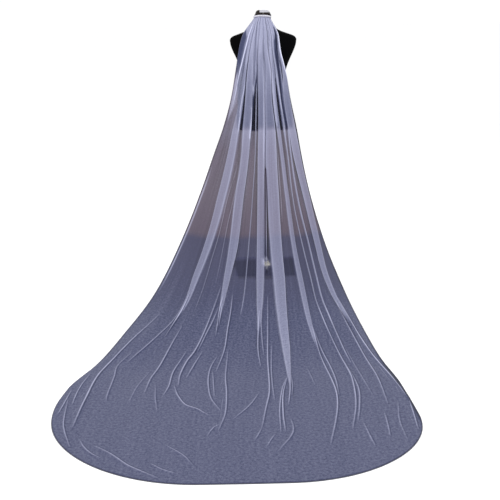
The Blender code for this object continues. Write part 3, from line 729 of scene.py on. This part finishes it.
def tulle_material():
    """Fine soft net: its colour, density and threads follow the cloth's own coordinates."""
    nodes = Nodes("tulle_net")
    cloth = nodes.add("ShaderNodeUVMap", uv_map="cloth").outputs["UV"]
    threads = nodes.add("ShaderNodeUVMap", uv_map="threads").outputs["UV"]
    warm = nodes.attribute("warm")
    cover = nodes.attribute("cover")

    laid = nodes.attribute("laid")
    streaky = nodes.math("MULTIPLY_ADD", laid, -0.75, 1.0)
    grainy = nodes.math("MULTIPLY_ADD", laid, 0.65, 0.35)

    broad = nodes.noise(nodes.stretched(threads, 11.0, 0.8, 1.0), 1.0, 2.0, 0.5)
    fine = nodes.noise(nodes.stretched(threads, 60.0, 1.2, 1.0), 1.0, 3.0, 0.6)
    mottle = nodes.noise(cloth, 100.0, 3.0, 0.7)
    net = nodes.noise(cloth, 420.0, 2.0, 0.7)

    tone = nodes.attribute("light")
    for noise, gain, share in ((broad, 0.16, streaky), (fine, 0.20, streaky),
                               (mottle, 0.48, grainy), (net, 0.34, grainy)):
        swing = nodes.math("MULTIPLY_ADD", noise, gain, -0.5 * gain)
        tone = nodes.math("MULTIPLY_ADD", swing, share, tone)
    # Along each crease: a painted highlight on its crest and a painted shade on its lee side
    for distance, crest in zip(nodes.parts("crease_distance_0") + nodes.parts("crease_distance_1"),
                               nodes.parts("crease_light_0") + nodes.parts("crease_light_1")):
        lee = nodes.math("MULTIPLY", nodes.bell(distance, LEE_PLACE), LEE_SHADE)
        line = nodes.math("SUBTRACT", nodes.bell(distance, 0.0), lee)
        tone = nodes.math("MULTIPLY_ADD", line, crest, tone)

    colour = nodes.mix(warm, SLATE, MAUVE)
    colour = nodes.mix(nodes.math("MULTIPLY", tone, 1.0, clamp=True), colour, PALE)
    colour = nodes.mix(nodes.math("SUBTRACT", tone, 1.0, clamp=True), colour, WHITE)
    deep = nodes.math("MULTIPLY", tone, -DEEP_GAIN, clamp=True)
    nodes.link(nodes.mix(deep, colour, DEEP), nodes.shader.inputs["Base Color"])
    thin = nodes.math("MULTIPLY_ADD", net, 0.08, -0.04)
    nodes.link(nodes.math("ADD", cover, thin, clamp=True), nodes.shader.inputs["Alpha"])
    nodes.bump(mottle, 0.15, 0.0015)
    return finish_shader(nodes, 0.75, specular=0.15, sheen=0.10)


def plain_cloth(name, colour, grain_scale, roughness, specular=0.3, sheen=0.0):
    nodes = Nodes(name)
    coordinates = nodes.add("ShaderNodeTexCoord").outputs["Object"]
    grain = nodes.noise(coordinates, grain_scale, 3.0, 0.6)
    darker = tuple(0.75 * c for c in colour[:3]) + (1.0,)
    nodes.link(nodes.mix(grain, darker, colour), nodes.shader.inputs["Base Color"])
    nodes.bump(grain, 0.3, 0.001)
    return finish_shader(nodes, roughness, specular=specular, sheen=sheen)


def worn_surface(name, colour, roughness, metallic, scale, specular=0.5, coat=0.0):
    """A hard surface whose roughness and tone vary slightly."""
    nodes = Nodes(name)
    coordinates = nodes.add("ShaderNodeTexCoord").outputs["Object"]
    patches = nodes.noise(coordinates, scale, 4.0, 0.6)
    darker = tuple(0.85 * c for c in colour[:3]) + (1.0,)
    nodes.link(nodes.mix(patches, darker, colour), nodes.shader.inputs["Base Color"])
    rough = nodes.math("MULTIPLY_ADD", patches, 0.3 * roughness)
    rough.node.inputs[2].default_value = 0.85 * roughness
    nodes.link(rough, nodes.shader.inputs["Roughness"])
    finish_shader(nodes, roughness, metallic, specular, coat=coat)
    return nodes.material


def mesh_object(name, bm, material, smooth_angle=math.radians(40.0)):
    bmesh.ops.recalc_face_normals(bm, faces=bm.faces)
    mesh = bpy.data.meshes.new(name)
    bm.to_mesh(mesh)
    bm.free()
    mesh.materials.append(material)
    mesh.shade_smooth()
    mesh.set_sharp_from_angle(angle=smooth_angle)
    obj = bpy.data.objects.new(name, mesh)
    bpy.context.scene.collection.objects.link(obj)
    return obj


def settle(obj, slot, *nodes):
    """The piece rides on the one body and stands for CAD nodes, which it hides. Its slot is not used."""
    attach(obj, BODY)
    if nodes:
        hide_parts(*nodes)
    return obj


def between(sheet, along, left, right):
    """1 at the points between two lines that run along the cloth, and 0 outside them."""
    left = np.interp(sheet.along, along, left)
    right = np.interp(sheet.along, along, right)
    return ramp(sheet.share - left, 0.0, SHADE_SOFT) * ramp(right - sheet.share, 0.0, SHADE_SOFT)


def near_form(sheet):
    """How much the dark form behind the cloth shows at each point, from 0 to 1."""
    inside = between(sheet, FORM_ALONG, FORM_LEFT, FORM_RIGHT)
    return inside * ramp(sheet.along, *FORM_FADE) * (1.0 - ramp(sheet.along, *FORM_END))


def near_plate(sheet):
    """How much the dark plate under the cloth shows at each point, from 0 to 1."""
    inside = between(sheet, PLATE_ALONG, PLATE_LEFT, PLATE_RIGHT)
    start, end = PLATE_ALONG[:2], PLATE_ALONG[2:]
    return inside * ramp(sheet.along, *start) * (1.0 - ramp(sheet.along, *end))


def border_looks(sheet):
    """A painted shade as a dark rim all round the sheet, and the light line beside its left edge."""
    to_side = np.abs(sheet.across[:, -1:]) - np.abs(sheet.across)
    to_hem = sheet.along[-1:] - sheet.along
    inwards = np.minimum(to_side, to_hem)
    rim = -RIM_PAINTED_SHADE * np.exp(-(inwards / RIM_WIDTH) ** 2) * ramp(sheet.along, *RIM_START)
    line = SIDE_LINE_LIGHT * np.exp(-((to_side - SIDE_LINE) / SIDE_LINE_WIDTH) ** 2)
    line = line * ramp(sheet.along, *SIDE_LINE_START) * (sheet.across < 0.0)
    return rim + line * (1.0 - ramp(sheet.along, *SIDE_LINE_END))


def sheet_looks(sheet):
    """How light, warm and dense each point of the sheet is."""
    known = [row.along for row in LOOKS]
    light, lighter, warm, cover = [
        np.interp(sheet.along, known, column) for column in list(zip(*LOOKS))[1:]]
    form = near_form(sheet)
    beside = BESIDE_FORM_WARM * (1.0 - form) * ramp(sheet.along, *BESIDE_FORM)
    warm = np.where(sheet.along < FORM_END[1], np.maximum(warm, beside), warm)
    thin = np.zeros_like(light)
    # Fold light: partly the layered net, partly painted highlights at the bends
    fold = np.clip(sheet.fold, 0.0, 1.0) ** (1.0 + FORM_SHARPER * form)
    bare = np.clip(1.0 - 2.0 * fold, 0.0, 1.0)
    for streak in STREAKS + GAP_STREAKS:
        middle = np.interp(sheet.along, streak.along, streak.across)
        width = np.interp(sheet.along, streak.along, streak.width)
        inside = (sheet.along > streak.along[0]) & (sheet.along < streak.along[-1])
        off = np.abs(sheet.share - middle) / np.maximum(width, 0.001)
        mask = np.exp(-np.minimum(off, 4.0) ** 4) * inside * (width > 0.001)
        if streak in GAP_STREAKS:
            mask = mask * bare
        light = light + (streak.tone - light) * streak.strength * mask
        thin = np.maximum(thin, streak.thin * mask)
    light = light - PLATE_DARKER * near_plate(sheet) * bare
    return {
        "light": light + lighter * fold + border_looks(sheet),
        "warm": warm * (1.0 - 0.5 * fold),
        "laid": ramp(sheet.along, *LAID_FROM),
        "cover": np.clip(cover + FOLD_COVER * fold - thin * (1.0 - fold), 0.0, 1.0),
    }


def add_uv(mesh, name, across, along):
    uv = mesh.uv_layers.new(name=name)
    loops = np.empty(len(mesh.loops), dtype=np.int64)
    mesh.loops.foreach_get("vertex_index", loops)
    cloth = np.stack([across, along], axis=-1).reshape(-1, 2)
    uv.data.foreach_set("uv", cloth[loops].astype(np.float32).ravel())


def veil_sheet():
    """The tulle panel: a thin sheet with its looks kept as values at its points."""
    sheet = sheet_points()
    rows, columns = sheet.along.shape
    index = np.arange(rows * columns).reshape(rows, columns)
    corners = np.stack([index[:-1, :-1], index[:-1, 1:], index[1:, 1:], index[1:, :-1]], axis=-1)
    mesh = bpy.data.meshes.new("veil_sheet")
    mesh.from_pydata(sheet.points.reshape(-1, 3).tolist(), [], corners.reshape(-1, 4).tolist())
    for name, value in sheet_looks(sheet).items():
        layer = mesh.attributes.new(name, "FLOAT", "POINT")
        layer.data.foreach_set("value", value.astype(np.float32).ravel())
    for name, value in (("crease_distance", sheet.distances), ("crease_light", sheet.crests)):
        for k in range(CREASE_LAYERS // 3):
            layer = mesh.attributes.new(f"{name}_{k}", "FLOAT_VECTOR", "POINT")
            layer.data.foreach_set("vector", value[..., 3 * k:3 * k + 3].astype(np.float32).ravel())
    add_uv(mesh, "cloth", sheet.across, sheet.along)
    add_uv(mesh, "threads", 0.5 * VEIL_WIDTH * sheet.share, sheet.along)
    mesh.materials.append(tulle_material())
    mesh.shade_smooth()
    obj = bpy.data.objects.new("veil_sheet", mesh)
    bpy.context.scene.collection.objects.link(obj)
    return settle(obj, "tulle", "veil_tulle"), sheet.points


def tube(name, path, radius, sides, material):
    """A closed tube along a path."""
    path = [Vector(point) for point in path]
    bm = bmesh.new()
    rings = []
    for i, point in enumerate(path):
        ahead = (path[min(i + 1, len(path) - 1)] - path[max(i - 1, 0)]).normalized()
        side = ahead.cross(Vector((0.0, 0.0, 1.0)))
        if side.length < 0.2:
            side = ahead.cross(Vector((0.0, 1.0, 0.0)))
        side.normalize()
        up = side.cross(ahead).normalized()
        ring = []
        for k in range(sides):
            angle = 2.0 * math.pi * k / sides
            ring.append(bm.verts.new(point + radius * (math.cos(angle) * side
                                                       + math.sin(angle) * up)))
        rings.append(ring)
    for a, b in zip(rings, rings[1:]):
        for k in range(sides):
            j = (k + 1) % sides
            bm.faces.new((a[k], a[j], b[j], b[k]))
    bm.faces.new(list(reversed(rings[0])))
    bm.faces.new(rings[-1])
    return mesh_object(name, bm, material)


EDGE_RADIUS = 0.0013
EDGE_STEP = 0.006


def veil_edge(points):
    """The fine rolled edge down both sides and round the hem."""
    border = np.concatenate([points[:, 0], points[-1, 1:], points[-2::-1, -1]])
    path = [border[0]]
    for point in border[1:]:
        if np.linalg.norm(point - path[-1]) >= EDGE_STEP:
            path.append(point)
    path = np.array(path)
    path[:, 2] = np.maximum(path[:, 2], EDGE_RADIUS)
    # The rolled edge's dark slate: partly the thread's own colour, partly painted shade along the edge
    material = plain_cloth("rolled_thread", linear(58, 60, 78), 900.0, 0.6, sheen=0.1)
    return settle(tube("veil_edge", path, EDGE_RADIUS, 6, material), "tulle")


# Rings of the dress form, from its flat underside up to the top of the neck
Ring = namedtuple("Ring", "height half_width back front squareness")
TORSO = (
    Ring(.833, .144, .096, .096, 2.3),
    Ring(.84, .148, .101, .1, 2.3),
    Ring(.9, .15, .106, .101, 2.3),
    Ring(.96, .143, .099, .097, 2.3),
    Ring(1.03, .128, .084, .09, 2.2),
    Ring(1.095, .118, .075, .086, 2.2),
    Ring(1.15, .123, .078, .094, 2.2),
    Ring(1.2, .138, .086, .112, 2.3),
    Ring(1.245, .158, .092, .124, 2.4),
    Ring(1.285, .176, .092, .116, 2.5),
    Ring(1.318, .185, .084, .098, 2.6),
    Ring(1.34, .184, .074, .083, 2.6),
    Ring(1.353, .17, .068, .074, 2.5),
    Ring(1.365, .138, .064, .068, 2.4),
    Ring(1.377, .104, .06, .062, 2.2),
    Ring(1.39, .078, .056, .057, 2.1),
    Ring(1.405, .059, .051, .051, 2),
    Ring(1.42, .05, .048, .048, 2),
    Ring(1.428, .047, .047, .047, 2),
    Ring(1.466, .047, .047, .047, 2),
)
TORSO_ROWS = 120
TORSO_SEGMENTS = 128


def torso_point(row, angle):
    """Point on a squared oval whose back and front differ in depth."""
    c, s = math.cos(angle), math.sin(angle)
    power = 2.0 / row.squareness
    depth = row.front if s >= 0.0 else row.back
    return (AXIS.x + row.half_width * math.copysign(abs(c) ** power, c),
            AXIS.y + depth * math.copysign(abs(s) ** power, s), row.height)


def bridge(bm, rings):
    for lower, upper in zip(rings, rings[1:]):
        for i in range(len(lower)):
            j = (i + 1) % len(lower)
            bm.faces.new((lower[i], lower[j], upper[j], upper[i]))


def form_body():
    """The dress form: one smooth limbless body covered in black jersey."""
    known = [row.height for row in TORSO]
    heights = np.interp(np.linspace(0, len(TORSO) - 1, TORSO_ROWS), range(len(TORSO)), known)
    rings = []
    bm = bmesh.new()
    for height in heights:
        values = [float(smooth_table(height, known, [row[k] for row in TORSO])) for k in range(1, 5)]
        row = Ring(float(height), *values)
        rings.append([bm.verts.new(torso_point(row, 2.0 * math.pi * i / TORSO_SEGMENTS))
                      for i in range(TORSO_SEGMENTS)])
    bridge(bm, rings)
    bm.faces.new(list(reversed(rings[0])))
    bm.faces.new(rings[-1])
    jersey = plain_cloth("black_jersey", linear(7, 7, 8), 700.0, 0.9, specular=0.02)
    return settle(mesh_object("form_body", bm, jersey), "form", "form_torso")


# Turned outlines, from the bottom up
Turned = namedtuple("Turned", "radius height")
NECK_CAP = (
    Turned(.044, 1.4663), Turned(.045, 1.4668), Turned(.045, 1.47), Turned(.0438, 1.4716),
    Turned(.042, 1.474), Turned(.0412, 1.4775), Turned(.0395, 1.481), Turned(.037, 1.4852),
    Turned(.034, 1.4885), Turned(.0295, 1.4915), Turned(.024, 1.4935), Turned(.018, 1.4945),
    Turned(.012, 1.495),
)
FLANGE = (
    Turned(.032, PLATE_THICK + GAP), Turned(.032, .0145), Turned(.0313, .016), Turned(.03, .017),
    Turned(.0235, .0188), Turned(.0198, .0212), Turned(.0182, .025), Turned(.0172, .03),
    Turned(.0165, .034), Turned(.016, .0352), Turned(.015, .036),
)
TURNED_SEGMENTS = 96


def turned(name, outline, material, bore=None):
    """Turn an outline about the form's axis, solid or round a bore."""
    outline = list(outline)
    if bore is not None:
        outline += [Turned(bore, outline[-1].height), Turned(bore, outline[0].height)]
    bm = bmesh.new()
    rings = []
    for point in outline:
        ring = []
        for i in range(TURNED_SEGMENTS):
            angle = 2.0 * math.pi * i / TURNED_SEGMENTS
            ring.append(bm.verts.new((AXIS.x + point.radius * math.cos(angle),
                                      AXIS.y + point.radius * math.sin(angle), point.height)))
        rings.append(ring)
    if bore is None:
        bridge(bm, rings)
        bm.faces.new(list(reversed(rings[0])))
        bm.faces.new(rings[-1])
    else:
        bridge(bm, rings + [rings[0]])
    return mesh_object(name, bm, material)


# A bright reflection painted into the cap's colour: where it starts across the cap and up it
PAINTED_SHINE_LEFT = -0.019
PAINTED_SHINE_LOW = 1.4778
PAINTED_SHINE_SOFT = 0.0015


def neck_dome():
    """The glossy cap: dark, with a broad bright reflection painted into its colour over most of its dome.
    """
    nodes = Nodes("gloss_cap_painted_reflection")
    coordinates = nodes.add("ShaderNodeTexCoord").outputs["Object"]
    parts = nodes.add("ShaderNodeSeparateXYZ")
    nodes.link(coordinates, parts.inputs[0])
    painted_shine_masks = []
    for socket, start in ((parts.outputs["X"], AXIS.x + PAINTED_SHINE_LEFT), (parts.outputs["Z"], PAINTED_SHINE_LOW)):
        off = nodes.math("SUBTRACT", socket, start)
        painted_shine_masks.append(nodes.math("MULTIPLY", off, 1.0 / PAINTED_SHINE_SOFT, clamp=True))
    patches = nodes.noise(coordinates, 60.0, 3.0, 0.6)
    dark = nodes.mix(patches, linear(8, 5, 6), linear(32, 22, 18))
    # Painted reflection: light grey over the dome's right and upper part
    colour = nodes.mix(nodes.math("MULTIPLY", *painted_shine_masks), dark, linear(170, 170, 177))
    nodes.link(colour, nodes.shader.inputs["Base Color"])
    gloss = finish_shader(nodes, 0.12, specular=0.12, coat=0.05)
    return settle(turned("neck_dome", NECK_CAP, gloss), "cap", "neck_cap")


def stand_pole():
    chrome = worn_surface("polished_steel", linear(140, 138, 142), 0.25, 1.0, 25.0)
    ends = (Turned(POLE_RADIUS, POLE_LOW[2]), Turned(POLE_RADIUS, POLE_HIGH[2]))
    return settle(turned("stand_pole", ends, chrome), "pole", "pole")


def foot_flange():
    metal = worn_surface("pale_brass", linear(246, 240, 214), 0.45, 0.3, 40.0)
    return settle(turned("foot_flange", FLANGE, metal, POLE_RADIUS + GAP), "flange", "flange")


PLATE_CORNER = 0.02
PLATE_BEVEL = 0.0015
PLATE_CORNER_STEPS = 10


def glass_plate():
    """The square glass base plate, with rounded corners and eased edges."""
    bm = bmesh.new()
    levels = ((PLATE_BEVEL, 0.0), (0.0, PLATE_BEVEL), (0.0, PLATE_THICK - PLATE_BEVEL),
              (PLATE_BEVEL, PLATE_THICK))
    rings = []
    for inset, z in levels:
        ring = []
        reach = 0.5 * PLATE_SIDE - PLATE_CORNER
        for quarter in range(4):
            for i in range(PLATE_CORNER_STEPS + 1):
                angle = 0.5 * math.pi * (quarter + i / PLATE_CORNER_STEPS)
                sign_x = 1.0 if quarter in (0, 3) else -1.0
                sign_y = 1.0 if quarter in (0, 1) else -1.0
                radius = PLATE_CORNER - inset
                ring.append(bm.verts.new((AXIS.x + sign_x * reach + radius * math.cos(angle),
                                          AXIS.y + sign_y * reach + radius * math.sin(angle), z)))
        rings.append(ring)
    bridge(bm, rings)
    bm.faces.new(list(reversed(rings[0])))
    bm.faces.new(rings[-1])
    glass = worn_surface("dark_glass", linear(10, 34, 52), 0.08, 0.0, 12.0, coat=0.2)
    return settle(mesh_object("glass_plate", bm, glass, math.radians(25.0)), "plate", "base_plate")


BAND_RADIUS = 0.0532
BAND_MIDDLE = math.radians(-10.0)
BAND_HALF = math.radians(62.0)
BAND_STEPS = 360
BAND_GATHERS = 58
GATHER_DEPTH = 0.0006
TAPE_SIDES = 14
TAPE_HALF_THICK = 0.0036
TAPE_SQUARE = 0.6


def band_tape():
    """The gathering band: a narrow tape with small upright gathers, bent round the neck."""
    bottom, top = BAND_LOW[2] + BAND_DROOP, BAND_HIGH[2]
    middle, half_high = 0.5 * (bottom + top), 0.5 * (top - bottom)
    bm = bmesh.new()
    rings = []
    for i in range(BAND_STEPS + 1):
        share = 2.0 * i / BAND_STEPS - 1.0
        angle = BAND_MIDDLE + BAND_HALF * share
        wave = math.sin(math.pi * BAND_GATHERS * share) + 0.5 * math.sin(
            math.pi * 0.37 * BAND_GATHERS * share + 1.0)
        ring = []
        for k in range(TAPE_SIDES):
            turn = 2.0 * math.pi * k / TAPE_SIDES
            c, s = math.cos(turn), math.sin(turn)
            out = TAPE_HALF_THICK * math.copysign(abs(c) ** TAPE_SQUARE, c)
            z = middle + half_high * math.copysign(abs(s) ** TAPE_SQUARE, s)
            if c > 0.0:
                out += GATHER_DEPTH * wave * (1.0 - 0.5 * abs(s))
            radius = BAND_RADIUS + out
            ring.append(bm.verts.new((AXIS.x + radius * math.sin(angle),
                                      AXIS.y - radius * math.cos(angle),
                                      z - BAND_DROOP * share * share)))
        rings.append(ring)
    bridge(bm, rings)
    bm.faces.new(list(reversed(rings[0])))
    bm.faces.new(rings[-1])
    tape = plain_cloth("white_tape", linear(214, 213, 225), 1200.0, 0.7, sheen=0.2)
    return settle(mesh_object("band_tape", bm, tape), "band", "gather_band")


STITCHES = 64
STITCH_RADIUS = 0.00035
STITCH_SIDES = 6
STITCH_OUT = 0.0041


def band_stitches():
    """A row of small stitches through the gathers of the band."""
    middle = 0.5 * (BAND_LOW[2] + BAND_DROOP + BAND_HIGH[2])
    bm = bmesh.new()
    for i in range(STITCHES):
        share = 2.0 * (i + 0.5) / STITCHES - 1.0
        angle = BAND_MIDDLE + 0.98 * BAND_HALF * share
        spot = Matrix.Translation((AXIS.x + (BAND_RADIUS + STITCH_OUT) * math.sin(angle),
                                   AXIS.y - (BAND_RADIUS + STITCH_OUT) * math.cos(angle),
                                   middle - BAND_DROOP * share * share))
        turn = Matrix.Rotation(angle, 4, "Z") @ Matrix.Rotation(0.5 * math.pi, 4, "Y")
        bmesh.ops.create_cone(bm, cap_ends=True, segments=STITCH_SIDES, radius1=STITCH_RADIUS,
                              radius2=STITCH_RADIUS, depth=1.3 * BAND_RADIUS * BAND_HALF / STITCHES,
                              matrix=spot @ turn)
    thread = plain_cloth("white_thread", linear(238, 238, 244), 1500.0, 0.5, sheen=0.2)
    return settle(mesh_object("band_stitches", bm, thread), "band")


def carried_nodes():
    """Materials for the CAD solids that stay."""
    plastic = worn_surface("clear_comb", linear(222, 224, 232), 0.25, 0.0, 80.0)
    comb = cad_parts["comb"]
    comb.data.materials.clear()
    comb.data.materials.append(plastic)


FLOOR_SIZE = 900.0
FLOOR_DROP = 0.0004


def studio():
    """A plain pale floor under soft, even light."""
    bm = bmesh.new()
    bmesh.ops.create_grid(bm, x_segments=1, y_segments=1, size=0.5 * FLOOR_SIZE)
    nodes = Nodes("pale_floor")
    nodes.shader.inputs["Base Color"].default_value = (0.965, 0.965, 0.968, 1.0)
    floor = mesh_object("floor", bm, finish_shader(nodes, 1.0, specular=0.0))
    floor.location.z = -FLOOR_DROP

    world = bpy.data.worlds.new("soft_room")
    world.use_nodes = True
    background = world.node_tree.nodes["Background"]
    background.inputs["Color"].default_value = (1.0, 1.0, 1.0, 1.0)
    background.inputs["Strength"].default_value = 1.04
    bpy.context.scene.world = world


Lamp = namedtuple("Lamp", "name place aim size power")
LAMPS = (
    Lamp("key_light", (-2.6, -2.6, 3.6), (0.0, 0.2, 0.6), 2.6, 55.0),
    Lamp("fill_light", (3.2, -1.6, 2.6), (0.1, 0.2, 0.5), 2.6, 22.0),
    Lamp("back_light", (0.6, 4.2, 3.2), (0.1, 0.8, 0.9), 2.4, 30.0),
    Lamp("top_light", (0.25, -0.45, 3.1), (0.0, 0.0, 1.5), 0.5, 16.0),
)


def lights():
    for lamp in LAMPS:
        data = bpy.data.lights.new(lamp.name, "AREA")
        data.energy = lamp.power
        data.size = lamp.size
        obj = bpy.data.objects.new(lamp.name, data)
        obj.location = lamp.place
        aim = Vector(lamp.aim) - Vector(lamp.place)
        obj.rotation_euler = aim.to_track_quat("-Z", "Y").to_euler()
        bpy.context.scene.collection.objects.link(obj)


# Camera at the photograph's angle, with its place given from the form's axis
CAMERA_HEIGHT = 1.421
CAMERA_BACK = 4.5864
CAMERA_ASIDE = -0.0943
CAMERA_PITCH = math.radians(16.0)
CAMERA_ROLL = math.radians(-1.015)
CAMERA_LENS = 56.88
CAMERA_SENSOR = 36.0


def camera():
    data = bpy.data.cameras.new("photo_camera")
    data.lens = CAMERA_LENS
    data.sensor_width = CAMERA_SENSOR
    data.sensor_fit = "HORIZONTAL"
    obj = bpy.data.objects.new("photo_camera", data)
    place_at = Matrix.Translation((AXIS.x + CAMERA_ASIDE, AXIS.y - CAMERA_BACK, CAMERA_HEIGHT))
    pitch = Matrix.Rotation(0.5 * math.pi - CAMERA_PITCH, 4, "X")
    obj.matrix_world = place_at @ pitch @ Matrix.Rotation(CAMERA_ROLL, 4, "Z")
    bpy.context.scene.collection.objects.link(obj)
    bpy.context.scene.camera = obj


def main():
    camera()
    sheet, points = veil_sheet()
    edge = veil_edge(points)
    band = band_tape()
    band_stitches()
    form_body()
    neck_dome()
    stand_pole()
    foot_flange()
    glass_plate()
    carried_nodes()
    studio()
    lights()
    bpy.context.scene.view_settings.view_transform = "Standard"


main()
